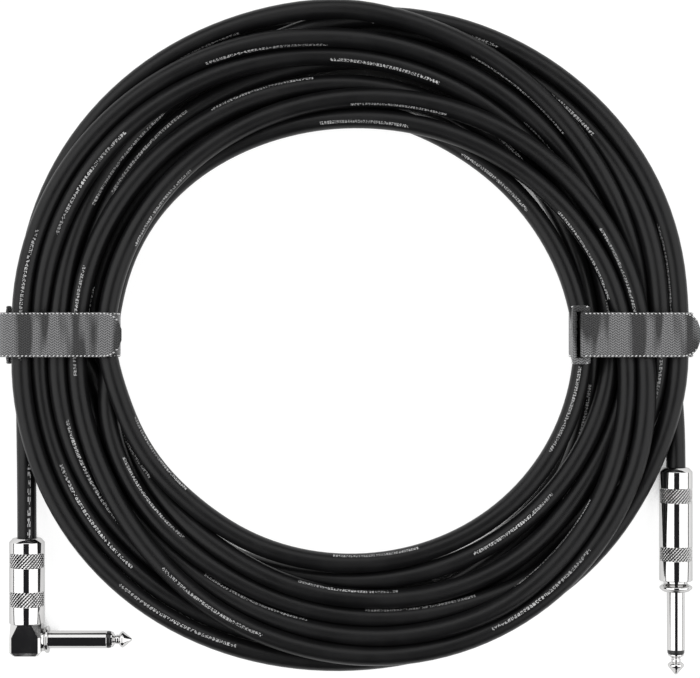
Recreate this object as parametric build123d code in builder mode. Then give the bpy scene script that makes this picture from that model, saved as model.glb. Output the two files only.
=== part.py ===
from build123d import *
from math import cos, dist, pi, radians, sin, tan
import os

# An instrument cable, coiled in nine and a half turns and held by two hook-and-loop ties, with a
# straight and a right-angle 6.35 mm plug. Millimetres, +Z up, the coil's centre on the table at 0, 0.

# ---- driving dimensions ----
cable_d = 7.0
cable_r = cable_d / 2
jacket_clearance = 0.3  # round the cable where a barrel slides or turns on it

coil_height = 14.5  # two layers of cable
coil_edge_fillet = 4.0
strap_recess_gap = 0.4  # between a strap and the turns it runs under
# (angle from +X anticlockwise in degrees, outer radius, inner radius) round the coil
coil_outline = [
    (0, 120.8, 82.2),
    (30, 123.6, 77.4),
    (58, 125.0, 76.4),
    (90, 122.6, 75.4),
    (120, 125.0, 81.0),
    (148, 125.2, 83.0),
    (180, 122.4, 86.6),
    (208, 123.6, 82.4),
    (240, 122.8, 79.2),
    (268, 117.6, 76.6),
    (300, 120.4, 77.0),
    (330, 120.4, 78.6),
]

# the uncoiled ends of the cable, from inside each plug's barrel to under the coil's outer turns
ra_tail_route = [(-117.8, -91.0, 6.4), (-117.8, -60.0, 6.4), (-118.3, -32.0, 5.6), (-118.8, -10.0, 4.9)]
straight_tail_route = [(117.5, -52.0, 6.1), (117.5, -39.0, 6.1), (117.1, -26.0, 5.6), (116.0, -13.0, 4.9)]

strap_t = 1.2
strap_w = 16.0
flap_w = 15.4
head_w = 21.0
head_drop = 4.0  # how far the right tie's wide head reaches down the bundle's side
band_radii = [1.4, 3.2, 3.2, 3.2]  # of its four corners, from the head on
tie_y = 2.2  # both ties lie across the bundle here
slot_w = 2.6
slot_depth = 1.15 * strap_t  # cut a little deeper than the strap is thick
slot_play = 0.6  # by which the slot is longer than the strap is wide
bar_w = 2.4  # between the slot and the head's end
head_gap = 0.1  # between the head and the layer of strap beside it
layer_gap = 0.3
loop_inner_top = 14.9
fold_r = 1.2  # inside of the fold round the bar
fold_arc = 40
tip_overhang = 1.9  # the flap's tip past the band's side
tip_flat = 3.0  # left straight at the flap's tip between its two rounded corners
left_shoulder_r = 4.5  # where the left flap turns from upright to lying
right_step = 6.0  # along which the right flap comes down from its fold to the band
left_bundle = (-122.6, -85.4)  # the tie's inner walls along X
right_bundle = (80.1, 121.4)

sleeve_r = 6.35 / 2
spigot_r = 2.9  # the sleeve's thinner stretch behind the shoulder
sleeve_bore_r = 2.3
rod_r = 1.2
sleeve_len = 21.1
ring_len = 1.4
ring_radii = (3.12, 2.95)  # the insulating ring narrows a little towards the tip
tip_len = 7.6
# (radius, distance from the ring) of the turned tip: land, waist, small bulge, ball and blunt point
tip_profile = [
    (2.75, 0.0),
    (2.75, 0.6),
    (1.5, 1.5),
    (1.75, 2.2),
    (1.6, 2.8),
    (2.9, 3.9),
    (2.9, 4.5),
    (0.5, 7.4),
    (0.0, tip_len),
]
tip_head_r = 1.8  # the rod's riveted end
washer_t = 1.2
washer_r = 2.9
thread_r = 4.8
thread_len = 6.0
thread_pitch = 1.0
thread_depth = 0.35
running_gap = 0.05
lug_t = 0.6
lug_hole_r = 2.5
lug_strip_w = 3.0
clamp_len = 6.0
clamp_mouth = 2.2
liner_t = 0.4
barrel_wall = 1.6  # behind the barrel's bore
stripped_len = 5.0  # from the straight plug's tip lug back to the jacket
straight_clamp_back = 12.0  # the clamp's end, from the jacket's end
ra_clamp_back = 9.0
straight_core_len = 2.0
ra_core_len = 2.5
core_r = 1.5
wire_r = 0.5  # conductor and gathered braid
wire_bend_r = 0.6

straight_x = 117.5
straight_z = 6.1
straight_shoulder_y = -90.9
straight_barrel_r = 6.0
straight_barrel_len = 41.0
straight_flange_r = 5.9
straight_flange_len = 3.0
straight_neck_len = 1.0

ra_x = -117.8
ra_z = 6.4
ra_barrel_r = 6.4
ra_barrel_len = 30.9
ra_elbow_w = 11.2
ra_elbow_len = 11.4
ra_elbow_top_y = -102.3
ra_sleeve_y = -108.2
ra_shoulder_x = -109.8
ra_bore_r = 3.2
ra_floor_t = 2.4  # left below the elbow's bore
ra_socket_r = 3.9  # the elbow's hole for the collar
ra_socket_depth = 2.0
ra_bevel_len = 4.6  # over which the elbow widens from its neck
ra_neck_chamfer = 3.1
ra_edge_chamfer = 0.8
ra_foot_len = 1.3
ra_foot_inset = 1.1

os.makedirs("parts", exist_ok=True)


def save(piece, name):
    """Label a finished piece and write its STEP file."""
    piece.part.label = name
    export_step(piece.part, f"parts/{name}.step")


def turned(plane, outline):
    """A turned piece: a closed outline of (radius, distance along the axis) about the plane's y."""
    with BuildPart() as piece:
        with BuildSketch(plane):
            with BuildLine():
                Polyline(*outline, close=True)
            make_face()
        revolve(axis=Axis(plane.origin, plane.y_dir))
    return piece


def tube(plane, outer_r, inner_r, start, end):
    """A plain round tube, or a rod where inner_r is 0, along the plane's y."""
    return turned(plane, [(inner_r, start), (outer_r, start), (outer_r, end), (inner_r, end)])


def route_radii(route):
    """As large an arc at each inner point as its two runs allow."""
    radii = []
    for before, here, after in zip(route, route[1:], route[2:]):
        turn = (Vector(*here) - Vector(*before)).get_angle(Vector(*after) - Vector(*here))
        shorter = min(dist(before, here), dist(here, after))
        radii.append(0.45 * shorter / tan(radians(turn) / 2))
    return radii


def cable_tube(route, name):
    """A free end of the cable: straight runs joined by tangent arcs."""
    radii = route_radii(route)
    with BuildPart() as piece:
        with BuildLine() as path:
            FilletPolyline(*route, radius=radii)
        with BuildSketch(Plane(origin=path.line @ 0, z_dir=path.line % 0)):
            Circle(cable_r)
        sweep()
    length = path.wire().length
    expected = pi * cable_r**2 * length
    print(f"{name}: length {length:.1f}, radii {[round(r) for r in radii]}, "
          f"volume {piece.part.volume:.0f} of {expected:.0f}")
    save(piece, name)


def polar(angle, radius):
    return radius * cos(radians(angle)), radius * sin(radians(angle))


# ---- the coiled cable ----
def make_coil():
    """The outer shape of the coil, lifted off the table where the two straps pass under it."""
    with BuildPart() as cable_coil:
        with BuildSketch():
            with BuildLine():
                Spline(*[polar(a, outer) for a, outer, _ in coil_outline], periodic=True)
            make_face()
            with BuildLine():
                Spline(*[polar(a, inner) for a, _, inner in coil_outline], periodic=True)
            make_face(mode=Mode.SUBTRACT)
        extrude(amount=coil_height)
        flat_faces = cable_coil.faces().filter_by(Axis.Z)
        fillet(flat_faces.edges(), coil_edge_fillet)
        for low, high in (left_bundle, right_bundle):
            with Locations(((low + high) / 2, tie_y, 0)):
                Box(high - low + 10, strap_w + 2, 2 * (strap_t + strap_recess_gap), mode=Mode.SUBTRACT)
    save(cable_coil, "cable_coil")


# ---- hook-and-loop ties ----
def strap_section(route, radii):
    """The strap seen edge on in the XZ plane: its centre line, thickened."""
    with BuildSketch(Plane.XZ.offset(-tie_y)) as section:
        with BuildLine() as line:
            if radii:
                FilletPolyline(*route, radius=radii)
            else:
                Line(*route)
        trace(line.line, line_width=strap_t)
    return section.sketch


def make_band(side, route, head_route, head_radii, slot_centre, slot_size):
    """The strap round the bundle. Its first stretch is the wide head, which the slot pierces."""
    with BuildPart() as band:
        extrude(strap_section(route, band_radii), amount=strap_w / 2, both=True)
        extrude(strap_section(head_route, head_radii), amount=head_w / 2, both=True)
        with Locations((slot_centre[0], tie_y, slot_centre[1])):
            Box(slot_size[0], strap_w + slot_play, slot_size[1], mode=Mode.SUBTRACT)
    save(band, f"{side}_tie_band")


def make_flap(side, route, radii, pivot, fold_from):
    """The strap's free end: part of the fold round the bar, then back over the band to a round tip."""
    with BuildPart() as flap:
        extrude(strap_section(route, radii), amount=flap_w / 2, both=True)
        with BuildSketch(Plane.XZ.offset(-tie_y)):
            with BuildLine():
                inner = CenterArc(pivot, fold_r, fold_from, fold_arc)
                outer = CenterArc(pivot, fold_r + strap_t, fold_from, fold_arc)
                Line(inner @ 0, outer @ 0)
                Line(inner @ 1, outer @ 1)
            make_face()
        extrude(amount=flap_w / 2, both=True)
        tip_corners = flap.edges().filter_by(Axis.Z).sort_by(Axis.X)[-2:]
        fillet(tip_corners, (flap_w - tip_flat) / 2)
    save(flap, f"{side}_tie_flap")
    print(f"{side} tie: flap pivot x {pivot[0]:.2f}, z {pivot[1]:.2f}")


def make_left_tie():
    """The head stands on the bundle's outer side, so the flap rises beside it before it lies over."""
    low, high = left_bundle
    half = strap_t / 2
    head_x = low - strap_t - head_gap - half
    right_x = high + half
    band_top = loop_inner_top + half
    bar_low = 6.0
    below_slot = 1.3
    slot_middle = bar_low - slot_w / 2
    band_route = [
        (head_x, bar_low + bar_w),
        (head_x, half),
        (right_x, half),
        (right_x, band_top),
        (low - half, band_top),
        (low - half, bar_low + bar_w),
    ]
    head_route = [band_route[0], (head_x, slot_middle - slot_w / 2 - below_slot)]
    make_band("left", band_route, head_route, [], (head_x, slot_middle), (slot_depth, slot_w))

    pivot = (head_x, bar_low + half)
    flap_x = head_x - fold_r - half
    flap_top = band_top + strap_t + layer_gap
    flap_route = [(flap_x, pivot[1]), (flap_x, flap_top), (right_x + half + tip_overhang, flap_top)]
    make_flap("left", flap_route, [left_shoulder_r], pivot, 180)


def make_right_tie():
    """The head lies on top of the bundle's inner edge, with the slot showing beside the fold."""
    low, high = right_bundle
    half = strap_t / 2
    head_x = low - half
    right_x = high + half
    band_top = loop_inner_top + half
    head_top = band_top + strap_t + head_gap
    bar_x = head_x + half + slot_w
    band_route = [
        (bar_x + bar_w, head_top),
        (head_x, head_top),
        (head_x, half),
        (right_x, half),
        (right_x, band_top),
        (bar_x + 0.3, band_top),
    ]
    head_route = [*band_route[:2], (head_x, head_top - head_drop)]
    slot_centre = (bar_x - slot_w / 2, head_top)
    make_band("right", band_route, head_route, band_radii[:1], slot_centre, (slot_w, slot_depth))

    pivot = (bar_x + half, head_top)
    flap_high = head_top + fold_r + half
    flap_low = band_top + strap_t + layer_gap
    flap_route = [
        (pivot[0], flap_high),
        (pivot[0] + bar_w, flap_high),
        (pivot[0] + bar_w + right_step, flap_low),
        (right_x + half + tip_overhang, flap_low),
    ]
    make_flap("right", flap_route, [4.0, 4.0], pivot, 90)


# ---- what both plugs share: sleeve, insulators, tip ----
def make_contacts(side, plane, sleeve_start, rod_start):
    """Sleeve, rod tube, ring and tip of one plug, whose shoulder is at 0 on the plane's y."""
    sleeve_outline = [
        (sleeve_bore_r, sleeve_start),
        (spigot_r, sleeve_start),
        (spigot_r, 0),
        (sleeve_r, 0),
        (sleeve_r, sleeve_len),
        (sleeve_bore_r, sleeve_len),
    ]
    save(turned(plane, sleeve_outline), f"{side}_sleeve")
    save(tube(plane, sleeve_bore_r, rod_r, sleeve_start, sleeve_len), f"{side}_rod_tube")
    ring_end = sleeve_len + ring_len
    near_r, far_r = ring_radii
    ring_outline = [(rod_r, sleeve_len), (near_r, sleeve_len), (far_r, ring_end), (rod_r, ring_end)]
    save(turned(plane, ring_outline), f"{side}_tip_ring")
    rod_outline = [
        (0, rod_start),
        (tip_head_r, rod_start),
        (tip_head_r, rod_start + lug_t),
        (rod_r, rod_start + lug_t),
        (rod_r, ring_end),
        *[(radius, ring_end + along) for radius, along in tip_profile],
    ]
    save(turned(plane, rod_outline), f"{side}_tip_rod")


def thread_outline(start, end, crest_r):
    """A thread's ridges, as (radius, distance) points from start to end."""
    points = []
    count = round((end - start) / thread_pitch)
    for n in range(count):
        base = start + n * thread_pitch
        points.append((crest_r - thread_depth, base))
        points.append((crest_r, base + 0.35 * thread_pitch))
        points.append((crest_r, base + 0.65 * thread_pitch))
    points.append((crest_r - thread_depth, end))
    return points


def make_barrel(side, plane, outer_r, inner_r, front, rear):
    """The screwed cover: threaded bore in front, a hole for the cable behind."""
    hole_r = cable_r + jacket_clearance
    bore_r = thread_r + running_gap
    outline = [
        (bore_r, front),
        (outer_r - 0.4, front),
        (outer_r, front - 0.4),
        (outer_r, rear + 1.4),
        (outer_r - 1.4, rear),
        (hole_r, rear),
        (hole_r, rear + barrel_wall),
        (inner_r, rear + barrel_wall + 1),
        (inner_r, front - thread_len - 1),
        (bore_r, front - thread_len - 1),
    ]
    save(turned(plane, outline), f"{side}_barrel")
    liner_r = inner_r - 0.1
    liner_rear = rear + barrel_wall + 1.2
    save(tube(plane, liner_r, liner_r - liner_t, liner_rear, front - thread_len - 1.2), f"{side}_liner")


def make_ground_lug(side, plane, seat, clamp_end):
    """Solder lug behind the threaded stub, running back to a clamp bent round the jacket."""
    with BuildPart() as lug:
        with BuildSketch(across(plane, seat)):
            Circle(thread_r - thread_depth - 0.1)
            Circle(lug_hole_r, mode=Mode.SUBTRACT)
        extrude(amount=-lug_t)
        with BuildSketch(across(plane, clamp_end)):
            Circle(cable_r + lug_t)
            Circle(cable_r, mode=Mode.SUBTRACT)
            with Locations((0, cable_r)):
                Rectangle(clamp_mouth, 3 * lug_t, mode=Mode.SUBTRACT)
        extrude(amount=clamp_len)
        with Locations(plane.from_local_coords((0, (seat + clamp_end) / 2, cable_r + lug_t / 2))):
            Box(lug_strip_w, seat - clamp_end, lug_t)
    save(lug, f"{side}_ground_lug")


def across(plane, distance):
    """The plane square to a plug's axis at a distance along it."""
    return Plane(plane.from_local_coords((0, distance, 0)), x_dir=plane.x_dir, z_dir=plane.y_dir)


# ---- straight plug ----
def make_straight_plug():
    """The plug points along -Y. Distances run along its axis from the shoulder, tip positive."""
    plane = Plane((straight_x, straight_shoulder_y, straight_z), x_dir=(1, 0, 0), z_dir=(0, 0, -1))
    neck_end = -straight_flange_len - straight_neck_len
    stub_end = neck_end - thread_len
    collar_outline = [
        (spigot_r, stub_end),
        *thread_outline(stub_end, neck_end, thread_r),
        (4.1, neck_end),
        (4.1, -straight_flange_len),
        (4.7, -straight_flange_len + 0.5),
        (straight_flange_r, -straight_flange_len + 1.1),
        (straight_flange_r, -straight_flange_len + 1.9),
        (4.9, -0.3),
        (3.9, 0),
        (spigot_r, 0),
    ]
    save(turned(plane, collar_outline), "straight_collar")

    washer_end = stub_end - lug_t - washer_t
    tip_lug_end = washer_end - lug_t
    make_contacts("straight", plane, stub_end, tip_lug_end - lug_t)
    barrel_rear = neck_end - straight_barrel_len
    make_barrel("straight", plane, straight_barrel_r, 5.1, neck_end, barrel_rear)

    jacket_front = tip_lug_end - stripped_len
    jacket_rear = straight_shoulder_y - straight_tail_route[0][1] + 0.3
    save(tube(plane, cable_r, 0, jacket_rear, jacket_front), "straight_jacket_end")
    make_ground_lug("straight", plane, stub_end, jacket_front - straight_clamp_back)
    save(tube(plane, washer_r, rod_r, washer_end, stub_end - lug_t), "straight_rear_washer")
    with BuildPart() as tip_lug:
        with BuildSketch(across(plane, washer_end)):
            Circle(2.6)
            Circle(rod_r, mode=Mode.SUBTRACT)
        extrude(amount=-lug_t)
        with Locations(plane.from_local_coords((0, tip_lug_end - 1.2, -2.3))):
            Box(2.2, 3.6, lug_t)
    save(tip_lug, "straight_tip_lug")

    core_front = jacket_front + straight_core_len
    save(tube(plane, core_r, 0, jacket_front, core_front), "straight_core")
    wire_points = [(0, core_front, 0), (0, core_front + 0.8, -0.3), (0, tip_lug_end - 1.4, -1.5)]
    make_wire("straight_conductor", [plane.from_local_coords(p) for p in wire_points])
    braid_points = [(0, jacket_front, 2.4), (0, jacket_front + 0.9, 2.5), (0, jacket_front + 2.6, 3.0)]
    make_wire("straight_shield", [plane.from_local_coords(p) for p in braid_points])
    make_solder("straight_tip_solder", plane.from_local_coords((0, tip_lug_end - 1.6, -1.7)), 0.9)
    make_solder("straight_ground_solder", plane.from_local_coords((0, jacket_front + 2.8, 3.0)), 0.8)


def make_wire(name, points):
    """A short bent wire, the bare conductor or the braid twisted together."""
    with BuildPart() as wire:
        with BuildLine() as path:
            FilletPolyline(*points, radius=wire_bend_r)
        with BuildSketch(Plane(origin=path.line @ 0, z_dir=path.line % 0)):
            Circle(wire_r)
        sweep()
    save(wire, name)


def make_solder(name, centre, radius):
    """A rounded bead of solder, a little flattened on its lug."""
    with BuildPart() as bead:
        with Locations(centre):
            Sphere(radius)
            Cylinder(radius * 1.15, 0.4)
    save(bead, name)


# ---- right-angle plug ----
def elbow_section(y, chamfer_size=ra_edge_chamfer, inset=0.0):
    """The elbow's square cross-section with chamfered corners, at one place along its length."""
    plane = Plane((ra_x, y, ra_z), x_dir=(1, 0, 0), z_dir=(0, 1, 0))
    side = ra_elbow_w - 2 * inset
    with BuildSketch(plane) as section:
        square = Rectangle(side, side)
        chamfer(square.vertices(), chamfer_size)
    return section.sketch


def make_ra_plug():
    """The barrel lies along Y and the sleeve leaves the elbow along +X."""
    barrel_plane = Plane((ra_x, ra_elbow_top_y, ra_z), x_dir=(1, 0, 0), z_dir=(0, 0, -1))
    plane = Plane((ra_shoulder_x, ra_sleeve_y, ra_z), x_dir=(0, 1, 0), z_dir=(0, 0, -1))
    stub_top = ra_elbow_top_y + thread_len
    shoulder_y = ra_elbow_top_y - ra_bevel_len
    bottom_y = ra_elbow_top_y - ra_elbow_len
    foot_y = bottom_y + ra_foot_len
    face = ra_x + ra_elbow_w / 2 - ra_shoulder_x

    with BuildPart() as elbow:
        loft([elbow_section(ra_elbow_top_y, ra_neck_chamfer), elbow_section(shoulder_y)])
        loft([elbow_section(shoulder_y), elbow_section(foot_y)])
        loft([elbow_section(foot_y), elbow_section(bottom_y, inset=ra_foot_inset)])
        with BuildSketch(barrel_plane):
            with BuildLine():
                Polyline((0, 0), *[(r, -d) for r, d in thread_outline(0, thread_len, thread_r)],
                         (0, -thread_len), close=True)
            make_face()
        revolve(axis=Axis(barrel_plane.origin, barrel_plane.y_dir))
        with Locations(Plane((ra_x, stub_top, ra_z), x_dir=(1, 0, 0), z_dir=(0, 1, 0))):
            Cylinder(ra_bore_r, thread_len + ra_elbow_len - ra_floor_t, mode=Mode.SUBTRACT,
                     align=(Align.CENTER, Align.CENTER, Align.MAX))
        with Locations(Plane((ra_x, ra_sleeve_y, ra_z), x_dir=(0, 1, 0), z_dir=(1, 0, 0))):
            Cylinder(ra_socket_r, ra_elbow_w, mode=Mode.SUBTRACT,
                     align=(Align.CENTER, Align.CENTER, Align.MIN))
    save(elbow, "ra_elbow")

    collar_outline = [
        (spigot_r, face - ra_socket_depth),
        (ra_socket_r, face - ra_socket_depth),
        (ra_socket_r, face),
        (4.2, face),
        (4.2, -1.5),
        (4.6, -1.1),
        (4.85, -0.8),
        (4.85, -0.2),
        (4.6, 0),
        (spigot_r, 0),
    ]
    save(turned(plane, collar_outline), "ra_collar")
    sleeve_rear = face - 2.4
    washer_rear = sleeve_rear - washer_t
    lug_rear = washer_rear - lug_t
    make_contacts("ra", plane, sleeve_rear, lug_rear - lug_t)
    save(tube(plane, washer_r, rod_r, washer_rear, sleeve_rear), "ra_rear_washer")
    with BuildPart() as tip_lug:
        with BuildSketch(across(plane, washer_rear)):
            Circle(2.3)
            Circle(rod_r, mode=Mode.SUBTRACT)
        extrude(amount=-lug_t)
        with Locations(plane.from_local_coords((3.4, washer_rear - lug_t / 2, 0))):
            Box(lug_t, 3.0, 2.0)
    save(tip_lug, "ra_tip_lug")

    make_barrel("ra", barrel_plane, ra_barrel_r, 5.3, 0, -ra_barrel_len)
    jacket_front = ra_elbow_top_y - ra_tail_route[0][1]
    make_ground_lug("ra", barrel_plane, -thread_len, jacket_front - ra_clamp_back)

    core_front = jacket_front + ra_core_len
    save(tube(barrel_plane, core_r, 0, jacket_front, core_front), "ra_core")
    lug_x = ra_shoulder_x + washer_rear - lug_t
    solder_y = ra_sleeve_y + 4.2
    wire_points = [
        (ra_x, ra_elbow_top_y - core_front, ra_z),
        (ra_x - 0.6, ra_elbow_top_y + 1.0, ra_z),
        (lug_x - 0.9, solder_y - 0.5, ra_z),
    ]
    make_wire("ra_conductor", wire_points)
    braid_points = [(0, jacket_front, 2.4), (0, jacket_front + 0.9, 2.5), (0, jacket_front + 2.6, 3.0)]
    make_wire("ra_shield", [barrel_plane.from_local_coords(p) for p in braid_points])
    make_solder("ra_tip_solder", (lug_x - 0.6, solder_y, ra_z), 0.9)
    make_solder("ra_ground_solder", barrel_plane.from_local_coords((0, jacket_front + 2.8, 3.0)), 0.8)


make_coil()
cable_tube(ra_tail_route, "ra_cable_tail")
cable_tube(straight_tail_route, "straight_cable_tail")
make_left_tie()
make_right_tie()
make_straight_plug()
make_ra_plug()
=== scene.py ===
import bmesh
import bpy
import math
import numpy as np
from mathutils import Matrix, Vector


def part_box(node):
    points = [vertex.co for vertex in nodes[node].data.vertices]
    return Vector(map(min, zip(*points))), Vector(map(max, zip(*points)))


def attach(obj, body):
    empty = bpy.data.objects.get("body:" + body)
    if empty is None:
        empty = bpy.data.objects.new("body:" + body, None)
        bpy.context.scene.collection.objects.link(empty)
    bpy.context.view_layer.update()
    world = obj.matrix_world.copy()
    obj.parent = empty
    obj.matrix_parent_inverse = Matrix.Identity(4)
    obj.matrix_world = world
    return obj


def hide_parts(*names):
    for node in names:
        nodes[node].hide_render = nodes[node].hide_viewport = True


# An instrument cable coiled on a pale table: the cord as one curve, two hook-and-loop ties,
# a straight plug and a right-angle plug. Metres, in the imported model's frame.

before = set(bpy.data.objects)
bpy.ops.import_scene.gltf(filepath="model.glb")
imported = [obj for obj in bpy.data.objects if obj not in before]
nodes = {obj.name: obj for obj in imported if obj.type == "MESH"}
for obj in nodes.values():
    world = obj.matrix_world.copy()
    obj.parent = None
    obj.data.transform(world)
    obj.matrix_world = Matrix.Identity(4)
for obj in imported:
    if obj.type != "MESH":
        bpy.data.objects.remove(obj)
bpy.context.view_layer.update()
MM = 0.001


# ---------------------------------------------------------------- small helpers
def link(obj):
    bpy.context.scene.collection.objects.link(obj)
    return obj


def mesh_object(name, vertices, faces, material, smooth=True, uvs=None):
    """A mesh piece from vertex and face lists, with an optional UV for each vertex."""
    mesh = bpy.data.meshes.new(name)
    mesh.from_pydata([tuple(v) for v in vertices], [], faces)
    mesh.validate()
    if uvs is not None:
        layer = mesh.uv_layers.new(name="UVMap")
        for loop in mesh.loops:
            layer.data[loop.index].uv = uvs[loop.vertex_index]
    mesh.polygons.foreach_set("use_smooth", [smooth] * len(mesh.polygons))
    mesh.materials.append(material)
    return link(bpy.data.objects.new(name, mesh))


class Shader:
    """A node material under construction: add() makes a node, and values may be numbers or sockets."""

    def __init__(self, name):
        self.material = bpy.data.materials.new(name)
        self.material.use_nodes = True
        self.tree = self.material.node_tree
        self.bsdf = self.tree.nodes["Principled BSDF"]

    def add(self, kind, settings=None, **inputs):
        node = self.tree.nodes.new(kind)
        for key, value in (settings or {}).items():
            setattr(node, key, value)
        for key, value in inputs.items():
            self.put(node, int(key[1:]) if key[0] == "i" and key[1:].isdigit() else key.replace("_", " "),
                     value)
        return node

    def put(self, node, key, value):
        if isinstance(value, bpy.types.NodeSocket):
            self.tree.links.new(value, node.inputs[key])
        else:
            node.inputs[key].default_value = value

    def set(self, **inputs):
        for key, value in inputs.items():
            self.put(self.bsdf, key.replace("_", " "), value)

    def math(self, operation, a, b=0.0, c=0.0, clamp=False):
        node = self.add("ShaderNodeMath", {"operation": operation, "use_clamp": clamp}, i0=a, i1=b)
        if operation in ("MULTIPLY_ADD", "SMOOTH_MIN", "SMOOTH_MAX", "WRAP", "COMPARE"):
            self.put(node, 2, c)
        return node.outputs[0]

    def noise(self, scale, detail=4.0, rough=0.5, coords=None):
        node = self.add("ShaderNodeTexNoise", None, Scale=scale, Detail=detail, Roughness=rough)
        self.put(node, "Vector", coords if coords is not None else self.coords())
        return node.outputs["Fac"]

    def coords(self, kind="Object"):
        return self.add("ShaderNodeTexCoord").outputs[kind]

    def spread(self, value, low, high, to_low=0.0, to_high=1.0):
        """The value's range from low to high, stretched to to_low and to_high and held there."""
        node = self.add("ShaderNodeMapRange", None, i0=value, i1=low, i2=high, i3=to_low, i4=to_high)
        return node.outputs[0]

    def blend(self, factor, first, second):
        node = self.add("ShaderNodeMix", {"data_type": "RGBA"})
        self.put(node, 0, factor)
        self.put(node, 6, first)
        self.put(node, 7, second)
        return node.outputs[2]

    def bump(self, height, distance, strength=1.0):
        node = self.add("ShaderNodeBump", None, Height=height, Distance=distance, Strength=strength)
        self.put(self.bsdf, "Normal", node.outputs[0])


# ---------------------------------------------------------------- camera, lights, table
def make_camera():
    lens, frame_width = 100.0, 0.2525
    sensor = 36.0
    above = lens * frame_width / sensor + 0.010
    data = bpy.data.cameras.new("camera")
    data.lens = lens
    data.sensor_width = sensor
    camera = link(bpy.data.objects.new("camera", data))
    camera.location = (-0.0007, 0.0007, above)
    bpy.context.scene.camera = camera


def area_light(name, place, aim, size, watts):
    data = bpy.data.lights.new(name, "AREA")
    data.shape = "RECTANGLE"
    data.size, data.size_y = size
    data.energy = watts
    lamp = link(bpy.data.objects.new(name, data))
    lamp.location = place
    lamp.rotation_mode = "QUATERNION"
    lamp.rotation_quaternion = (Vector(aim) - Vector(place)).to_track_quat("-Z", "Y")


COIL_MIDDLE, COIL_HALF = 0.1021, 0.0154  # the stretch of table that the coil covers all the way round, where shade is painted on the table


def make_studio():
    scene = bpy.context.scene
    scene.view_settings.view_transform = "Standard"
    area_light("softbox_left", (-1.11, 0.0, 0.93), (0, 0, 0), (2.6, 1.81), 28)
    area_light("softbox_right", (1.11, 0.0, 0.93), (0, 0, 0), (2.6, 1.81), 26)
    area_light("softbox_far", (0.0, 1.3, 1.05), (0, 0, 0), (1.6, 1.2), 8.5)
    world = bpy.data.worlds.new("studio")
    world.use_nodes = True
    world.node_tree.nodes["Background"].inputs[0].default_value = (0.022, 0.022, 0.024, 1)
    scene.world = world

    table = Shader("table")
    # The table's colour and glow fall away with ambient occlusion and over the coil's ring: painted shade in
    # the gaps between the turns.
    open_sky = table.add("ShaderNodeAmbientOcclusion", {"samples": 8}, Distance=0.012).outputs["AO"]
    place = table.add("ShaderNodeSeparateXYZ", None, Vector=table.coords())
    flat = table.add("ShaderNodeCombineXYZ", None, X=place.outputs[0], Y=place.outputs[1])
    reach = table.add("ShaderNodeVectorMath", {"operation": "LENGTH"}, i0=flat.outputs[0]).outputs["Value"]
    off_ring = table.math("ABSOLUTE", table.math("SUBTRACT", reach, COIL_MIDDLE))
    beside = table.spread(off_ring, COIL_HALF - 0.001, COIL_HALF + 0.001)
    shade = table.math("MULTIPLY_ADD", beside, -0.38, 0.5)  # painted shade on the table: darker between the turns than beside them
    clear_of_painted_shade = table.math("DIVIDE", table.math("SUBTRACT", open_sky, shade), 0.22, clamp=True)
    # painted shade: the table turns near-black and stops glowing there, and elsewhere stays evenly bright
    table.set(Base_Color=table.blend(clear_of_painted_shade, (0.01, 0.01, 0.01, 1), (0.12, 0.12, 0.12, 1)), Roughness=0.6)
    table.set(Emission_Color=(1, 1, 1, 1), Emission_Strength=table.spread(clear_of_painted_shade, 0, 1, 0.0, 0.93))
    table.bump(table.noise(220.0, 3.0), 0.0001, 0.2)
    half = 3.0
    floor = mesh_object("table_top", [(-half, -half, 0), (half, -half, 0), (half, half, 0), (-half, half, 0)],
                        [(0, 1, 2, 3)], table.material)


# ---------------------------------------------------------------- the cord
CABLE_D = 7.0 * MM
CABLE_R = CABLE_D / 2
STATIONS = 48  # points to each turn of the coil
# the two uncoiled ends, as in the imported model
RA_TAIL = [(-117.8, -91.0, 6.4), (-117.8, -60.0, 6.4), (-118.3, -32.0, 5.6), (-118.8, -10.0, 4.9)]
STRAIGHT_TAIL = [(116.0, -13.0, 4.9), (117.1, -26.0, 5.6), (117.5, -39.0, 6.1), (117.5, -52.0, 6.1)]
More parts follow.
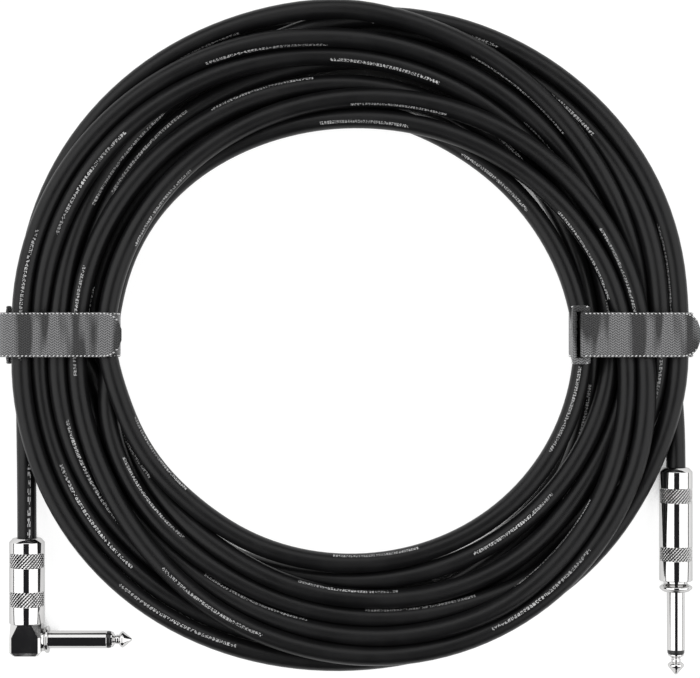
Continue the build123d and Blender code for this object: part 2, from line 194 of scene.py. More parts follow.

# The coil runs clockwise from the left tie. Each pass says, at some clock angles from -X, how far out
# it lies in mm and how high: -1 on the table, 1 in the upper layer. Passes go on in this order.
# The places were judged from the real cable's photograph; where a pass is hidden they are made up.
PASSES = [
    [(0, 119.0, -1), (8, 121.5, -1), (24, 126.5, -1), (42, 127.8, -1), (60, 123.2, -0.6), (90, 117.6, 0.6),
     (105, 117.0, 1), (130, 114.0, 0.8), (150, 109.0, -0.2), (172, 107.0, -1)],
    [(188, 108.0, -1), (230, 109.4, -1), (252, 108.7, 0.5), (270, 101.5, 1), (290, 95.8, 1),
     (315, 92.2, 0.5), (345, 93.6, -0.5)],
    [(8, 93.6, -1), (30, 90.7, -1), (48, 84.0, -1), (68, 77.4, 0.3), (90, 77.4, 1), (110, 78.8, 1),
     (130, 83.2, 1), (150, 90.7, 1), (172, 98.3, 1)],
    [(188, 104.8, 1), (200, 109.0, 1), (220, 112.7, 1), (240, 113.0, 1), (260, 108.7, 1), (280, 104.4, 1),
     (300, 99.7, 1), (315, 96.5, 1), (327, 96.0, 0), (350, 104.0, -1)],
    [(8, 111.0, -1), (40, 115.0, -1), (90, 114.5, -1), (110, 117.0, -0.5), (130, 119.2, 0.3),
     (150, 115.6, 0.7), (172, 114.0, 0)],
    [(188, 110.0, -1), (230, 106.0, -1), (270, 110.5, -1), (290, 110.9, 0), (305, 114.5, 1),
     (320, 115.2, 1), (335, 113.8, 1), (350, 112.7, 1)],
    [(8, 112.7, 1), (40, 114.5, 1), (60, 109.8, 1), (80, 104.4, 1), (100, 100.4, 1), (125, 98.3, 0.4),
     (150, 94.3, -1), (172, 92.0, -1)],
    [(188, 91.8, 0.2), (215, 92.9, 0.8), (230, 91.0, 1), (245, 88.2, 1), (260, 85.3, 1), (270, 84.6, 1),
     (300, 86.4, 0.2), (325, 90.0, -1), (350, 96.0, -1)],
    [(8, 97.0, -1), (60, 91.0, -1), (90, 84.0, -1), (116, 76.3, -0.5), (150, 79.2, 0.5), (172, 83.2, 1)],
    [(190, 85.0, 1), (210, 84.6, 1), (230, 83.9, 0.8), (245, 82.0, 0.8), (260, 79.6, 0.8),
     (275, 79.4, 0.9), (290, 80.4, 1), (305, 82.0, 1), (320, 84.4, 1), (350, 88.6, 1)],
    [(8, 88.8, 1), (40, 84.6, 1), (60, 83.2, 1), (85, 85.0, 1), (100, 88.2, 1), (115, 91.8, 1),
     (130, 95.8, 1), (150, 100.1, 1), (172, 105.8, 1)],
    [(188, 110.9, 1), (200, 113.4, 1), (215, 117.0, 1), (230, 122.6, 1), (243, 123.0, 1), (254, 116.4, 1),
     (275, 109.4, 1), (300, 105.0, 1), (315, 100.8, 1), (330, 99.4, 1), (345, 99.4, 1)],
    [(8, 100.8, 1), (20, 99.4, 1), (40, 96.5, 1), (60, 92.9, 1), (80, 93.6, 1), (92, 95.4, 0.7),
     (120, 92.0, -1), (150, 87.0, -1), (172, 88.0, -1)],
    [(188, 90.0, -1), (215, 94.0, -1), (230, 96.5, -0.6), (255, 97.0, -1), (275, 103.0, -1),
     (294, 109.0, 0), (310, 110.5, 1), (325, 109.0, 1), (340, 106.2, 1), (355, 105.5, 1)],
    [(8, 106.6, 0.5), (40, 108.7, -0.2), (60, 112.0, -1), (80, 115.0, -1), (103, 120.2, 0.2),
     (116, 125.4, 0.6), (134, 123.8, 0.6), (150, 121.6, 0.7), (172, 118.0, 1)],
    [(188, 116.3, 1), (200, 116.0, 0.6), (215, 116.0, -0.5), (235, 116.0, -1), (257, 115.0, 0.2),
     (270, 112.2, 0.3), (280, 114.2, 0.8), (295, 119.2, 1), (310, 122.0, 1), (330, 120.6, 1),
     (355, 119.2, 1)],
    [(8, 119.9, 1), (40, 121.3, 1), (60, 117.0, 1), (80, 111.6, 1), (95, 108.0, 1), (120, 104.4, 1),
     (150, 103.3, 0), (172, 101.0, -1)],
    [(188, 96.5, 1), (200, 101.9, 1), (215, 105.5, 1), (230, 106.9, 1), (245, 102.6, 1), (258, 97.9, 1),
     (270, 94.3, 1), (290, 91.0, 1), (305, 88.9, 1), (320, 89.0, 0.3), (350, 94.0, -1)],
    [(8, 102.0, -1), (34, 103.7, 0), (60, 101.5, 1), (77, 98.0, 0.2), (100, 104.0, -1), (130, 108.0, -1),
     (165, 113.5, -1), (180, 115.5, -1)],
]
LOW_Z, HIGH_Z = 3.5, 9.9  # centre heights of the two layers
TIE_Y, TIE_HALF = 2.2, 8.0
STRAP_T = 1.2
TIE_WALLS = {"left": (-122.6, -85.4), "right": (80.1, 121.4)}
TIE_TOP = 14.9


def coil_wishes():
    """Where each point of the coil would lie: clock angle, radius and height, before the turns touch."""
    angles, radii, levels = [], [], []
    for half, stops in enumerate(PASSES):
        turn = 360 * (half // 2)
        for angle, radius, level in stops:
            angles.append(angle + turn)
            radii.append(radius)
            levels.append(level)
    clock = np.arange(0.0, angles[-1] + 0.1, 360 / STATIONS)
    radius = np.interp(clock, angles, radii)
    level = np.interp(clock, angles, levels)
    height = LOW_Z + (level + 1) / 2 * (HIGH_Z - LOW_Z)
    return clock, radius, height


def eased(values, rounds, pull=0.5):
    """The values smoothed along the cord, ends kept."""
    for _ in range(rounds):
        middle = (values[:-2] + values[2:]) / 2
        values[1:-1] += pull * (middle - values[1:-1])
    return values


def spread_low(r, wish_z):
    """Lets the lower turns roll towards the middle of the room between their neighbours."""
    low = wish_z < (LOW_Z + HIGH_Z) / 2 - 1.0
    for station in range(STATIONS):
        here = np.arange(station, len(r), STATIONS)
        order = here[np.argsort(r[here])]
        inner = order[1:-1]
        middle = (r[order[:-2]] + r[order[2:]]) / 2
        r[inner] += np.where(low[inner], 0.25, 0.03) * (middle - r[inner])


def settle_coil():
    """Moves the turns a diameter apart, keeps them on the table, in the ties and over both tails."""
    clock, wish_r, wish_z = coil_wishes()
    wish_r, wish_z = eased(wish_r, 2), eased(wish_z, 3)
    r, z = wish_r.copy(), wish_z.copy()
    turn = np.radians(180 - clock)
    d = CABLE_D / MM
    away = np.abs(((clock + 90) % 180) - 90)  # degrees from the nearer tie
    in_tie = away < 6
    floor_z = np.where(away < 9, STRAP_T + d / 2 + 0.1, d / 2)
    left = np.cos(turn) < 0
    tails = [(True, -118.4, 5.6, -45.0), (False, 117.0, 5.8, -42.0)]
    # the ring is a little wide towards -X and drawn in at the front and back
    oval = 1.9 * np.cos(np.radians(clock)) + 1.7 * np.cos(np.radians(2 * clock))
    oval = oval * np.clip((away - 8) / 8, 0, 1)
    rounds = 420
    for step in range(rounds):
        late = step / rounds
        if step == rounds - 60:
            r += oval
        r += (wish_r - r) * 0.10 * (1 - late)
        z += (wish_z - z) * 0.06 * (1 - late)
        push_r, push_z = np.zeros_like(r), np.zeros_like(z)
        for lag in range(STATIONS, len(r), STATIONS):
            dr, dz = r[lag:] - r[:-lag], z[lag:] - z[:-lag]
            gap = np.hypot(dr, dz) + 1e-6
            short = np.clip(d * 1.005 - gap, 0, None) * 0.5
            push_r[lag:] += short * dr / gap
            push_r[:-lag] -= short * dr / gap
            push_z[lag:] += short * dz / gap
            push_z[:-lag] -= short * dz / gap
        r += np.clip(push_r, -1.2, 1.2) * 0.6
        z += np.clip(push_z, -1.2, 1.2) * 0.6
        if step % 4 == 0 and step < rounds - 60:
            spread_low(r, wish_z)
        x, y = r * np.cos(turn), r * np.sin(turn)
        for is_left, tail_x, tail_z, tail_end in tails:
            over = (left == is_left) & (y < -6) & (y > tail_end) & (np.abs(x) > 105)
            dx, dz = x - tail_x, z - tail_z
            gap = np.hypot(dx, dz) + 1e-6
            short = np.where(over & (dz > -1), np.clip(d - gap, 0, None), 0)
            z += 0.6 * short * np.clip(np.abs(dz) / gap + 0.3, 0, 1)
        if step < rounds - 25:
            r = eased(r, 1, 0.35)
            z = eased(z, 1, 0.25)
        else:
            r = eased(r, 1, 0.1)
            z = eased(z, 1, 0.1)
        for side, (low, high) in TIE_WALLS.items():
            near, far = sorted((abs(low), abs(high)))
            beside = (away < 8) & (left == (side == "left"))
            r[beside] = np.minimum(r[beside], far - d / 2 + 0.8)
            held = in_tie & beside
            r[held] = np.clip(r[held], near + d / 2, far - d / 2)
            z[held] = np.clip(z[held], None, TIE_TOP - d / 2)
        z = np.maximum(z, floor_z)
        r[0], z[0] = wish_r[0], floor_z[0]
        r[-1], z[-1] = wish_r[-1], floor_z[-1]
    return np.column_stack([r * np.cos(turn), r * np.sin(turn), z])


def make_cord(material):
    coil = settle_coil()
    points = [*RA_TAIL, *coil[1:-1], *STRAIGHT_TAIL]
    data = bpy.data.curves.new("cord", "CURVE")
    data.dimensions = "3D"
    data.twist_mode = "MINIMUM"
    data.resolution_u = 3
    data.bevel_depth = CABLE_R
    data.bevel_resolution = 8
    data.use_fill_caps = True
    spline = data.splines.new("NURBS")
    spline.points.add(len(points) - 1)
    for slot, point in zip(spline.points, points):
        slot.co = (*(float(c) * MM for c in point), 1)
    spline.order_u = 3
    spline.use_endpoint_u = True
    data.materials.append(material)
    return link(bpy.data.objects.new("cord", data)), points


def line_length(points):
    steps = np.diff(np.array(points, float), axis=0)
    return float(np.linalg.norm(steps, axis=1).sum()) * MM


def pvc_material(cord_length):
    """Black satin PVC with a fine haul-off texture, faint scuffs and sparse runs of ink specks."""
    pvc = Shader("cable_jacket")
    fine = pvc.noise(1400.0, 3.0)
    scuff = pvc.noise(60.0, 5.0, 0.6)
    uv = pvc.add("ShaderNodeTexCoord").outputs["UV"]
    parts = pvc.add("ShaderNodeSeparateXYZ", None, Vector=uv)
    along = pvc.math("MULTIPLY", parts.outputs[0], cord_length / MM)
    # sparse runs of tiny ink specks, a few columns wide with a gap after each, that spell nothing
    speck, rows, row_share = 0.3, 4, 0.0125
    run = pvc.math("LESS_THAN", pvc.math("FLOORED_MODULO", along, 118.0), 41.0)
    column = pvc.math("FLOOR", pvc.math("DIVIDE", along, speck))
    ink_column = pvc.math("LESS_THAN", pvc.math("FLOORED_MODULO", column, 4.0), 2.5)
    wander = pvc.add("ShaderNodeTexNoise", {"noise_dimensions": "1D"}, W=pvc.math("DIVIDE", along, 3600.0))
    place = pvc.math("MULTIPLY_ADD", wander.outputs["Fac"], 0.9, -0.2)
    level = pvc.math("DIVIDE", pvc.math("SUBTRACT", parts.outputs[1], place), row_share)
    on_line = pvc.math("LESS_THAN", pvc.math("ABSOLUTE", level), rows / 2)
    cell = pvc.add("ShaderNodeCombineXYZ", None, X=column, Y=pvc.math("FLOOR", level))
    random = pvc.add("ShaderNodeTexWhiteNoise", {"noise_dimensions": "2D"}, Vector=cell.outputs[0])
    inked = pvc.math("LESS_THAN", random.outputs["Value"], 0.62)
    mark = pvc.math("MULTIPLY", pvc.math("MULTIPLY", run, ink_column), pvc.math("MULTIPLY", on_line, inked))
    worn = pvc.math("MULTIPLY", mark, pvc.spread(scuff, 0.35, 0.6, 0.9, 0.4))
    black = pvc.blend(pvc.spread(scuff, 0.4, 0.7), (0.0035, 0.0035, 0.0038, 1), (0.006, 0.006, 0.0064, 1))
    pvc.set(Base_Color=pvc.blend(worn, black, (0.62, 0.62, 0.62, 1)))
    pvc.set(Roughness=pvc.spread(scuff, 0.3, 0.7, 0.34, 0.44), Specular_IOR_Level=0.27)
    pvc.bump(fine, 0.00003, 0.35)
    return pvc.material


# ---------------------------------------------------------------- hook-and-loop ties
def rounded(route, radii, step=1.2):
    """A strap's centre line: straight runs joined by arcs, as (x, z) points a step apart."""
    corners = [np.array(p, float) for p in route]
    line = [corners[0]]
    for before, here, after, radius in zip(corners, corners[1:], corners[2:], radii):
        back = (before - here) / np.linalg.norm(before - here)
        ahead = (after - here) / np.linalg.norm(after - here)
        half = math.acos(max(-1.0, min(1.0, float(back @ ahead)))) / 2
        reach = radius / math.tan(half)
        centre = here + (back + ahead) / np.linalg.norm(back + ahead) * (radius / math.sin(half))
        first, last = here + back * reach - centre, here + ahead * reach - centre
        count = max(4, int((math.pi - 2 * half) / math.radians(7)))
        for n in range(count + 1):
            share = n / count
            swing = (math.sin((1 - share) * (math.pi - 2 * half)) * first
                     + math.sin(share * (math.pi - 2 * half)) * last) / math.sin(math.pi - 2 * half)
            line.append(centre + swing)
    line.append(corners[-1])
    filled = [line[0]]
    for point in line[1:]:
        run = np.linalg.norm(point - filled[-1])
        pieces = max(1, int(run / step))
        start = filled[-1]
        filled += [start + (point - start) * (n / pieces) for n in range(1, pieces + 1)]
    return np.array(filled)


class StrapMesh:
    """Collects swept stretches of strap and their stitches into one mesh with two materials."""

    def __init__(self):
        self.vertices, self.faces, self.uvs, self.kinds = [], [], [], []

    def sweep(self, line, edges_at, start=0.0, stop=None, thickness=STRAP_T, across=14):
        """Strap along line from start to stop mm; edges_at(s) gives its edges in Y from the tie's middle."""
        steps = np.linalg.norm(np.diff(line, axis=0), axis=1)
        lengths = np.concatenate([[0], np.cumsum(steps)])
        stop = lengths[-1] if stop is None else stop
        inside = lengths[(lengths > start + 0.05) & (lengths < stop - 0.05)]
        stations = np.concatenate([[start], inside, [stop]])
        base, ring = len(self.vertices), 0
        for s in stations:
            x, z = np.interp(s, lengths, line[:, 0]), np.interp(s, lengths, line[:, 1])
            ahead, back = min(s + 0.3, lengths[-1]), max(s - 0.3, 0)
            tx = np.interp(ahead, lengths, line[:, 0]) - np.interp(back, lengths, line[:, 0])
            tz = np.interp(ahead, lengths, line[:, 1]) - np.interp(back, lengths, line[:, 1])
            size = math.hypot(tx, tz)
            nx, nz = -tz / size, tx / size
            low, high = edges_at(s)
            section = []
            for side in (1, -1):
                for n in range(across + 1):
                    y = low + (high - low) * (n if side == 1 else across - n) / across
                    inset = max(0.0, min(y - low, high - y))
                    lift = thickness / 2 * min(1.0, 0.55 + 0.45 * math.sqrt(min(1.0, inset / 0.5)))
                    section.append((y, side * lift))
            ring = len(section)
            for y, off in section:
                self.vertices.append(((x + nx * off) * MM, (TIE_Y + y) * MM, (z + nz * off) * MM))
                self.uvs.append((s, y))
        count = len(stations)
        for i in range(count - 1):
            for j in range(ring):
                a, b = base + i * ring + j, base + i * ring + (j + 1) % ring
                self.faces.append((a, a + ring, b + ring, b))
        self.faces.append(tuple(base + j for j in range(ring)))
        self.faces.append(tuple(base + (count - 1) * ring + j for j in reversed(range(ring))))
        self.kinds += [0] * ((count - 1) * ring + 2)

    def stitches(self, line, edges_at, start, stop, pitch=1.4, side=1, thickness=STRAP_T):
        """Small raised stitches along both edges of one face of the strap."""
        steps = np.linalg.norm(np.diff(line, axis=0), axis=1)
        lengths = np.concatenate([[0], np.cumsum(steps)])
        around, rows = 8, 3
        for s in np.arange(start + pitch / 2, stop, pitch):
            x, z = np.interp(s, lengths, line[:, 0]), np.interp(s, lengths, line[:, 1])
            ahead, back = min(s + 0.3, lengths[-1]), max(s - 0.3, 0)
            tx = np.interp(ahead, lengths, line[:, 0]) - np.interp(back, lengths, line[:, 0])
            tz = np.interp(ahead, lengths, line[:, 1]) - np.interp(back, lengths, line[:, 1])
            size = math.hypot(tx, tz)
            tx, tz = tx / size, tz / size
            nx, nz = -tz * side, tx * side
            if z + nz * thickness / 2 < 0.3:  # none between the strap and the table
                continue
            low, high = edges_at(s)
            for y, lean in ((low + 0.45, 1), (high - 0.45, -1)):
                base = len(self.vertices)
                for row in range(rows + 1):
                    tilt = math.radians(90 * row / rows)
                    for n in range(around):
                        turn = 2 * math.pi * n / around
                        along = 0.42 * math.cos(turn) * math.cos(tilt)
                        out = 0.24 * math.sin(turn) * math.cos(tilt) + 0.25 * along * lean
                        up = thickness / 2 - 0.06 + 0.24 * math.sin(tilt)
                        self.vertices.append(((x + tx * along + nx * up) * MM, (TIE_Y + y + out) * MM,
                                              (z + tz * along + nz * up) * MM))
                        self.uvs.append((s, y))
                for row in range(rows):
                    for n in range(around):
                        a, b = base + row * around + n, base + row * around + (n + 1) % around
                        self.faces.append((a, b, b + around, a + around))
                self.faces.append(tuple(base + n for n in reversed(range(around))))
                self.kinds += [1] * (rows * around + 1)

    def finish(self, name, materials, body, node):
        piece = mesh_object(name, self.vertices, self.faces, materials[0], uvs=self.uvs)
        piece.data.materials.append(materials[1])
        if len(piece.data.polygons) == len(self.kinds):
            piece.data.polygons.foreach_set("material_index", self.kinds)
        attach(piece, body)
        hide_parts(node)
        return piece


def strap_materials():
    """Grey zigzag-woven hook-and-loop tape with darker and lighter patches, and its pale stitching."""
    tape = Shader("tie_weave")
    parts = tape.add("ShaderNodeSeparateXYZ", None, Vector=tape.coords("UV"))
    along, across = parts.outputs[0], parts.outputs[1]
    zigzag = tape.math("PINGPONG", along, 1.05)
    slant = tape.math("MULTIPLY_ADD", zigzag, 0.8, across)
    rib = tape.math("SINE", tape.math("MULTIPLY", slant, 2 * math.pi / 0.92))
    cross_rib = tape.math("COSINE", tape.math("MULTIPLY", along, 2 * math.pi / 0.65))
    weave = tape.math("ADD", tape.math("MULTIPLY", rib, 0.38), tape.math("MULTIPLY", cross_rib, 0.16))
    weave = tape.math("ADD", weave, 0.5)
    shifted = tape.add("ShaderNodeCombineXYZ", None, X=along, Y=tape.math("MULTIPLY", across, 0.16))
    patch = tape.noise(0.115, 2.0, 0.5, shifted.outputs[0])
    fuzz = tape.noise(3.0, 3.0, 0.6, tape.coords("UV"))
    light = tape.spread(patch, 0.45, 0.52)
    thread = tape.spread(tape.math("MULTIPLY_ADD", fuzz, 0.5, weave), 0.25, 1.1)
    dark_cloth = tape.blend(thread, (0.001, 0.001, 0.001, 1), (0.05, 0.05, 0.051, 1))
    pale_cloth = tape.blend(thread, (0.018, 0.018, 0.019, 1), (0.25, 0.25, 0.254, 1))
    tape.set(Base_Color=tape.blend(light, dark_cloth, pale_cloth), Roughness=0.8, Sheen_Weight=0.25,
             Sheen_Roughness=0.5)
    tape.bump(weave, 0.00025, 0.8)
    yarn = Shader("tie_stitching")
    yarn.set(Base_Color=yarn.blend(yarn.noise(2500.0), (0.55, 0.55, 0.55, 1), (0.85, 0.85, 0.85, 1)),
             Roughness=0.75)
    yarn.bump(yarn.noise(4000.0), 0.00005, 0.5)
    return [tape.material, yarn.material]


HEAD_HALF, STRAP_HALF = 10.5, 8.0
SLOT_HALF = 8.3
BAR_W, SLOT_W = 2.4, 2.6
FOLD_R = 1.2 + STRAP_T / 2
LAYER_GAP = 0.3


def build_band(name, route, head_length, materials):
    """The strap round the bundle: bar, the two rails beside the slot, the head, then the strap itself."""
    line = rounded(route, [1.4, 3.2, 3.2, 3.2])
    total = float(np.linalg.norm(np.diff(line, axis=0), axis=1).sum())
    mesh = StrapMesh()

    def head_edges(s):
        slope = min(1.0, max(0.0, (head_length + 1.2 - s) / 1.2))
        half = STRAP_HALF + (HEAD_HALF - STRAP_HALF) * slope
        rounding = 0.5 * max(0.0, 1 - s / 0.6) ** 2
        return -half + rounding, half - rounding

    mesh.sweep(line, head_edges, 0.0, BAR_W)
    mesh.sweep(line, lambda s: (-HEAD_HALF, -SLOT_HALF), BAR_W, BAR_W + SLOT_W, across=4)
    mesh.sweep(line, lambda s: (SLOT_HALF, HEAD_HALF), BAR_W, BAR_W + SLOT_W, across=4)
    mesh.sweep(line, head_edges, BAR_W + SLOT_W)
    for side in (1, -1):
        mesh.stitches(line, head_edges, BAR_W + SLOT_W + 0.5, total - 0.5, side=side)
    mesh.stitches(line, head_edges, 0.4, BAR_W, side=-1)
    return mesh.finish(name, materials, "root", name.replace("_strap", ""))


def build_flap(name, body, line, materials, outer_side):
    """The free end: round the bar, over the bundle, to a rounded tip."""
    mesh = StrapMesh()
    total = float(np.linalg.norm(np.diff(line, axis=0), axis=1).sum())
    corner = STRAP_HALF - 1.5

    def edges(s):
        into = max(0.0, s - (total - corner))
        half = STRAP_HALF - corner + math.sqrt(max(0.0, corner**2 - into**2))
        return -half, half

    mesh.sweep(line, edges, stop=total - 0.02)
    mesh.stitches(line, edges, 1.0, total - corner, side=outer_side)
    tip = total - corner
    for s in np.arange(tip, total - 1.0, 1.1):
        mesh.stitches(line, edges, s, s + 0.9, pitch=0.9, side=outer_side)
    return mesh.finish(name, materials, body, name.replace("_strap", ""))


def arc(centre, radius, first, last, count=14):
    turns = np.radians(np.linspace(first, last, count))
    return [(centre[0] + radius * math.cos(t), centre[1] + radius * math.sin(t)) for t in turns]


def make_ties():
    materials = strap_materials()
    half = STRAP_T / 2
    band_top = TIE_TOP + half
    low, high = TIE_WALLS["left"]
    head_x, bar_low = low - STRAP_T - 0.1 - half, 6.0
    right_x = high + half
    route = [(head_x, bar_low + BAR_W), (head_x, half), (right_x, half), (right_x, band_top),
             (low - half, band_top), (low - half, bar_low + BAR_W)]
    build_band("left_tie_band_strap", route, BAR_W + SLOT_W + 1.3, materials)
    pivot = (head_x, bar_low + half)
    flap_x, flap_top = head_x - FOLD_R, band_top + STRAP_T + LAYER_GAP
    rise = rounded([(flap_x, pivot[1]), (flap_x, flap_top), (right_x + half + 1.9, flap_top)], [4.5])
    line = np.array([*arc(pivot, FOLD_R, 270, 180)[:-1], *rise])
    build_flap("left_tie_flap_strap", "left_flap", line, materials, 1)

    low, high = TIE_WALLS["right"]
    head_x, right_x = low - half, high + half
    head_top = band_top + STRAP_T + 0.1
    bar_x = head_x + half + SLOT_W
    route = [(bar_x + BAR_W, head_top), (head_x, head_top), (head_x, half), (right_x, half),
             (right_x, band_top), (bar_x + 0.3, band_top)]
    build_band("right_tie_band_strap", route, BAR_W + SLOT_W + 4.6, materials)
    pivot = (bar_x + half, head_top)
    flap_high, flap_low = head_top + FOLD_R, band_top + STRAP_T + LAYER_GAP
    lie = rounded([(pivot[0], flap_high), (pivot[0] + BAR_W, flap_high),
                   (pivot[0] + BAR_W + 6.0, flap_low), (right_x + half + 1.9, flap_low)], [4.0, 4.0])
    line = np.array([*arc(pivot, FOLD_R, 140, 90)[:-1], *lie])
    build_flap("right_tie_flap_strap", "right_flap", line, materials, 1)


# ---------------------------------------------------------------- plugs
def lathe(name, origin, axis, profile, material, segments=128, relief=None, closed=True):
    """A piece turned round axis from (radius, distance) in mm; relief(turn, distance, radius) alters radii."""
    axis = Vector(axis).normalized()
    side = axis.orthogonal().normalized()
    up = axis.cross(side)
    vertices, faces = [], []
    for radius, along in profile:
        for n in range(segments):
            turn = 2 * math.pi * n / segments
            r = relief(turn, along, radius) if relief else radius
            point = Vector(origin) + axis * along + (side * math.cos(turn) + up * math.sin(turn)) * r
            vertices.append(point * MM)
    rows = len(profile)
    for i in range(rows if closed else rows - 1):
        for n in range(segments):
            a, b = i * segments + n, i * segments + (n + 1) % segments
            c, e = ((i + 1) % rows) * segments + (n + 1) % segments, ((i + 1) % rows) * segments + n
            faces.append((a, b, c, e))
    piece = mesh_object(name, vertices, faces, material)
    work = bmesh.new()
    work.from_mesh(piece.data)
    bmesh.ops.remove_doubles(work, verts=work.verts, dist=1e-6)
    bmesh.ops.recalc_face_normals(work, faces=work.faces)
    for edge in work.edges:
        if len(edge.link_faces) == 2 and edge.calc_face_angle() > math.radians(32):
            edge.smooth = False
    work.to_mesh(piece.data)
    work.free()
    return piece


def metal_material(name, tint, roughness, wear=0.06):
    """Bright plated metal with faint polishing marks and handling smears."""
    metal = Shader(name)
    smear = metal.noise(160.0, 5.0, 0.6)
    polish = metal.noise(2600.0, 2.0)
    shade = tuple(c * 0.9 for c in tint)
    metal.set(Base_Color=metal.blend(smear, (*tint, 1), (*shade, 1)), Metallic=1.0,
              Specular_Tint=(0.72, 0.72, 0.72, 1),
              Roughness=metal.spread(smear, 0.35, 0.7, roughness, roughness + wear))
    metal.bump(polish, 0.000004, 0.25)
    return metal.material


def band_rows(bands, start, end):
    """Distances from start down to end, close together inside the knurled bands."""
    rows, at = [], start
    for high, low in bands:
        rows += [high + 0.15, high]
        rows += list(np.arange(high - 0.11, low, -0.11))
        rows += [low, low - 0.15]
    return [r for r in rows if end < r < start]


KNURL_RIDGES, KNURL_DEPTH = 30, 0.38


def knurled(bands):
    """Relief for a knurl cut into the bands: one deep set of slanting grooves, crossed by a finer one."""
    def relief(turn, along, radius):
        if radius < 5.5:
            return radius
        for high, low in bands:
            if low <= along <= high:
                fade = max(0.0, min(1.0, (high - along) / 0.25, (along - low) / 0.25))
                slope = along / radius
                first = abs((KNURL_RIDGES * (turn - slope) / (2 * math.pi)) % 1 - 0.5) * 2
                second = abs((KNURL_RIDGES * (turn + slope) / (2 * math.pi)) % 1 - 0.5) * 2
                deep = 1 - min(1.0, 1.2 * first)
                fine = 0.55 * (1 - min(1.0, 1.6 * second))
                return radius - KNURL_DEPTH * fade * max(deep, fine)
        return radius
    return relief


def paint_groove_shade_and_oil(piece, origin, outer_r, material):
    """Gives the faces deep in the knurl a near-black metal: painted shade in the grooves, with some oil."""
    piece.data.materials.append(material)
    depth_mm = 0.5 * KNURL_DEPTH
    for face in piece.data.polygons:
        radius = math.hypot(face.center.x / MM - origin[0], face.center.z / MM - origin[2])
        if outer_r - KNURL_DEPTH - 0.02 < radius < outer_r - depth_mm and abs(face.normal.y) < 0.93:
            face.material_index = 1


def build_barrel(side, origin, axis, outer_r, inner_r, front, rear, bands, metals, body):
    wall, hole_r, bore_r, thread_len = 1.6, 3.8, 4.85, 6.0
    chamfer = 1.4
    rows = band_rows(bands, front - 0.5, rear + chamfer)
    profile = [(bore_r, front), (outer_r - 0.35, front), (outer_r - 0.1, front - 0.1),
               (outer_r, front - 0.35)]
    profile += [(outer_r, row) for row in rows]
    profile += [(outer_r, rear + chamfer + 0.12), (outer_r - 0.12, rear + chamfer - 0.05),
                (outer_r - chamfer + 0.15, rear + 0.12), (outer_r - chamfer - 0.05, rear)]
    profile += [(hole_r + 0.2, rear), (hole_r, rear + 0.2), (hole_r, rear + wall),
                (inner_r, rear + wall + 1), (inner_r, front - thread_len - 1),
                (bore_r, front - thread_len - 1)]
    piece = lathe(f"{side}_plug_barrel", origin, axis, profile, metals[0], 10 * KNURL_RIDGES, knurled(bands))
    paint_groove_shade_and_oil(piece, origin, outer_r, metals[1])
    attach(piece, body)
    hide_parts(f"{side}_barrel")
    return piece


def thread_rows(start, end, crest_r):
    pitch, depth = 1.0, 0.35
    rows = []
    for n in range(round((end - start) / pitch)):
        base = start + n * pitch
        rows += [(crest_r - depth, base), (crest_r, base + 0.35), (crest_r, base + 0.65)]
    return [*rows, (crest_r - depth, end)]


def build_contacts(side, origin, axis, sleeve_start, rod_start, metal, ring_material, body):
    """Sleeve, insulating ring and tip, finely turned."""
    made = []
    sleeve = [(2.3, sleeve_start), (2.9, sleeve_start), (2.9, 0), (3.175, 0), (3.175, 20.95), (3.05, 21.1),
              (2.3, 21.1)]
    made.append(("sleeve", lathe(f"{side}_plug_sleeve", origin, axis, sleeve, metal, 96), "plated_metal"))
    ring = [(1.2, 21.1), (2.98, 21.1), (3.1, 21.25), (3.08, 21.8), (2.98, 22.3), (2.85, 22.5), (1.2, 22.5)]
    made.append(("tip_ring", lathe(f"{side}_plug_ring", origin, axis, ring, ring_material, 96), "insulator"))
    base = 22.5
    tip = [(0.001, rod_start), (1.8, rod_start), (1.8, rod_start + 0.6), (1.2, rod_start + 0.6), (1.2, base)]
    tip += [(2.6, base), (2.78, base + 0.15), (2.78, base + 0.55), (2.5, base + 0.85), (1.95, base + 1.15),
            (1.55, base + 1.5), (1.5, base + 1.75), (1.7, base + 2.05), (1.75, base + 2.3),
            (1.66, base + 2.6), (1.7, base + 2.85), (2.1, base + 3.15), (2.6, base + 3.5),
            (2.85, base + 3.85), (2.92, base + 4.2), (2.82, base + 4.55), (2.5, base + 4.95),
            (1.7, base + 5.9), (0.95, base + 6.8), (0.6, base + 7.25), (0.35, base + 7.5),
            (0.001, base + 7.6)]
    made.append(("tip_rod", lathe(f"{side}_plug_tip", origin, axis, tip, metal, 96, closed=False),
                 "plated_metal"))
    for node, piece, slot in made:
        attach(piece, body)
        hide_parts(f"{side}_{node}")
    return [piece for _, piece, _ in made]


def build_collar(side, origin, axis, profile, metal, body):
    piece = lathe(f"{side}_plug_collar", origin, axis, profile, metal, 128)
    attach(piece, body)
    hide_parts(f"{side}_collar")
    return piece


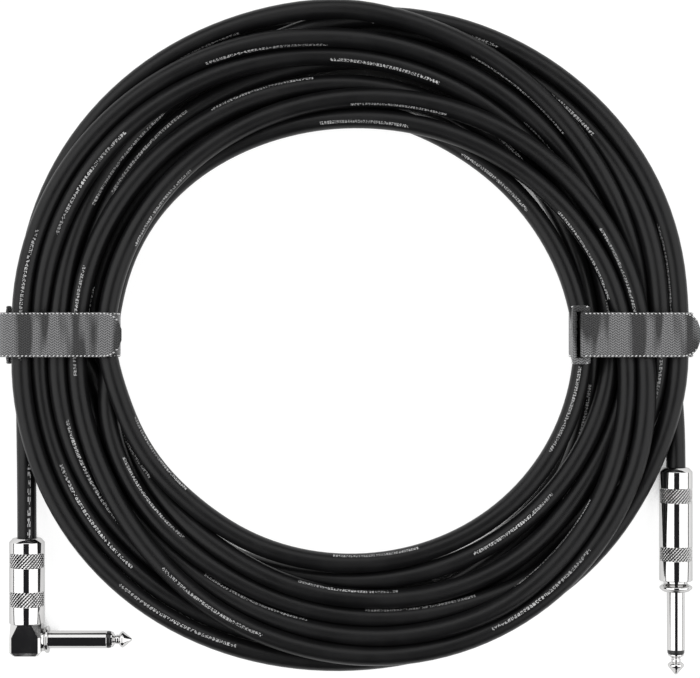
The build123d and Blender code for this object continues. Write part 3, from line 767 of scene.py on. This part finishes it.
def make_plugs():
    chrome = metal_material("bright_nickel", (0.66, 0.655, 0.65), 0.035)
    # near-black metal for the knurl grooves: painted shade, with some oil
    groove = metal_material("knurl_groove_shade_and_oil", (0.02, 0.02, 0.02), 0.35)
    ring_plastic = Shader("black_ring")
    sheen = ring_plastic.spread(ring_plastic.noise(900.0), 0.3, 0.7, 0.25, 0.4)
    ring_plastic.set(Base_Color=(0.01, 0.01, 0.01, 1), Roughness=sheen)
    made = []
    origin, axis = (117.5, -90.9, 6.1), (0, -1, 0)
    front, rear = -4.0, -45.0
    bands = [(-11.3, -16.5), (-32.2, -37.6)]
    made.append(build_barrel("straight", origin, axis, 6.0, 5.1, front, rear, bands, (chrome, groove),
                             "straight_cover"))
    stub_end = front - 6.0
    collar = [(2.9, stub_end), *thread_rows(stub_end, front, 4.8), (4.1, front), (4.1, -3.2),
              (4.25, -2.95), (4.7, -2.6), (5.4, -2.2), (5.75, -2.0), (5.9, -1.75), (5.9, -1.3),
              (5.75, -1.05), (5.4, -0.75), (4.9, -0.35), (4.4, -0.1), (3.9, 0), (2.9, 0)]
    made.append(build_collar("straight", origin, axis, collar, chrome, "straight_front"))
    rod_start = stub_end - 0.6 - 1.2 - 0.6 - 0.6
    made += build_contacts("straight", origin, axis, stub_end, rod_start, chrome, ring_plastic.material,
                           "straight_front")

    elbow_x, elbow_half, shoulder_x = -117.8, 5.6, -109.8
    origin, axis = (elbow_x, -102.3, 6.4), (0, -1, 0)
    bands = [(-6.2, -11.7), (-20.2, -25.6)]
    made.append(build_barrel("ra", origin, axis, 6.4, 5.3, 0.0, -30.9, bands, (chrome, groove), "ra_cover"))
    face = elbow_x + elbow_half - shoulder_x
    collar_low, collar_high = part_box("ra_collar")
    origin, axis = (shoulder_x, (collar_low[1] + collar_high[1]) / 2 / MM, 6.4), (1, 0, 0)
    collar = [(2.9, face - 2.0), (3.9, face - 2.0), (3.9, face), (4.2, face), (4.2, -1.6), (4.35, -1.35),
              (4.6, -1.1), (4.78, -0.95), (4.85, -0.8), (4.85, -0.25), (4.75, -0.08), (4.55, 0), (2.9, 0)]
    made.append(build_collar("ra", origin, axis, collar, chrome, "root"))
    rear_end = face - 2.4
    made += build_contacts("ra", origin, axis, rear_end, rear_end - 1.2 - 0.6 - 0.6, chrome,
                           ring_plastic.material, "root")
    return made, chrome


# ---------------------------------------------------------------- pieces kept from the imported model
def fine_material(name, first, second, scale, roughness, relief, metallic=0.0, **extra):
    """A small part's surface: two tones mixed by noise, uneven roughness and a fine relief in metres."""
    surface = Shader(name)
    mottle = surface.noise(scale, 5.0, 0.6)
    surface.set(Base_Color=surface.blend(surface.spread(mottle, 0.35, 0.65), (*first, 1), (*second, 1)),
                Metallic=metallic, Roughness=surface.spread(mottle, 0.3, 0.7, *roughness), **extra)
    surface.bump(surface.noise(scale * 6, 3.0), relief, 0.5)
    return surface.material


def dress_kept_nodes(chrome):
    """Each kept node gets its own finish: elbow, lugs, insulators, wires and solder."""
    tinned = fine_material("tinned_lug", (0.66, 0.65, 0.62), (0.5, 0.49, 0.46), 500.0, (0.2, 0.38), 0.00001,
                           1.0)
    copper = fine_material("copper_strands", (0.75, 0.33, 0.17), (0.5, 0.2, 0.1), 1800.0, (0.25, 0.4),
                           0.00008, 1.0)
    solder = fine_material("solder", (0.62, 0.63, 0.65), (0.42, 0.43, 0.45), 900.0, (0.15, 0.32), 0.00003,
                           1.0)
    white = fine_material("rod_tube_white", (0.78, 0.77, 0.72), (0.68, 0.66, 0.6), 300.0, (0.35, 0.5),
                          0.00001)
    core = fine_material("core_insulation", (0.8, 0.8, 0.78), (0.7, 0.7, 0.68), 300.0, (0.3, 0.42), 0.00001,
                         Subsurface_Weight=0.2, Subsurface_Radius=(0.001, 0.001, 0.001))
    washer = fine_material("washer_black", (0.012, 0.012, 0.013), (0.03, 0.03, 0.03), 700.0, (0.25, 0.42),
                           0.00001)
    liner = fine_material("liner_matt", (0.045, 0.045, 0.05), (0.075, 0.075, 0.08), 400.0, (0.6, 0.8),
                          0.00003)
    jacket_end = fine_material("jacket_end", (0.005, 0.005, 0.0055), (0.012, 0.012, 0.012), 400.0,
                               (0.4, 0.55), 0.00002)
    finishes = {"rod_tube": white, "rear_washer": washer, "tip_lug": tinned, "ground_lug": tinned,
                "liner": liner,
                "core": core, "conductor": copper, "shield": copper, "tip_solder": solder,
                "ground_solder": solder}
    for side in ("straight", "ra"):
        for part, material in finishes.items():
            coat(f"{side}_{part}", material)
    coat("straight_jacket_end", jacket_end)
    coat("ra_elbow", chrome)


def coat(node, material):
    mesh = nodes[node].data
    mesh.materials.clear()
    mesh.materials.append(material)


make_camera()
make_studio()
jacket = pvc_material(6.2)
cord, route = make_cord(jacket)
cord_length = line_length(route)
make_ties()
plug_pieces, chrome = make_plugs()
dress_kept_nodes(chrome)
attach(cord, "root")
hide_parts("cable_coil", "ra_cable_tail", "straight_cable_tail")
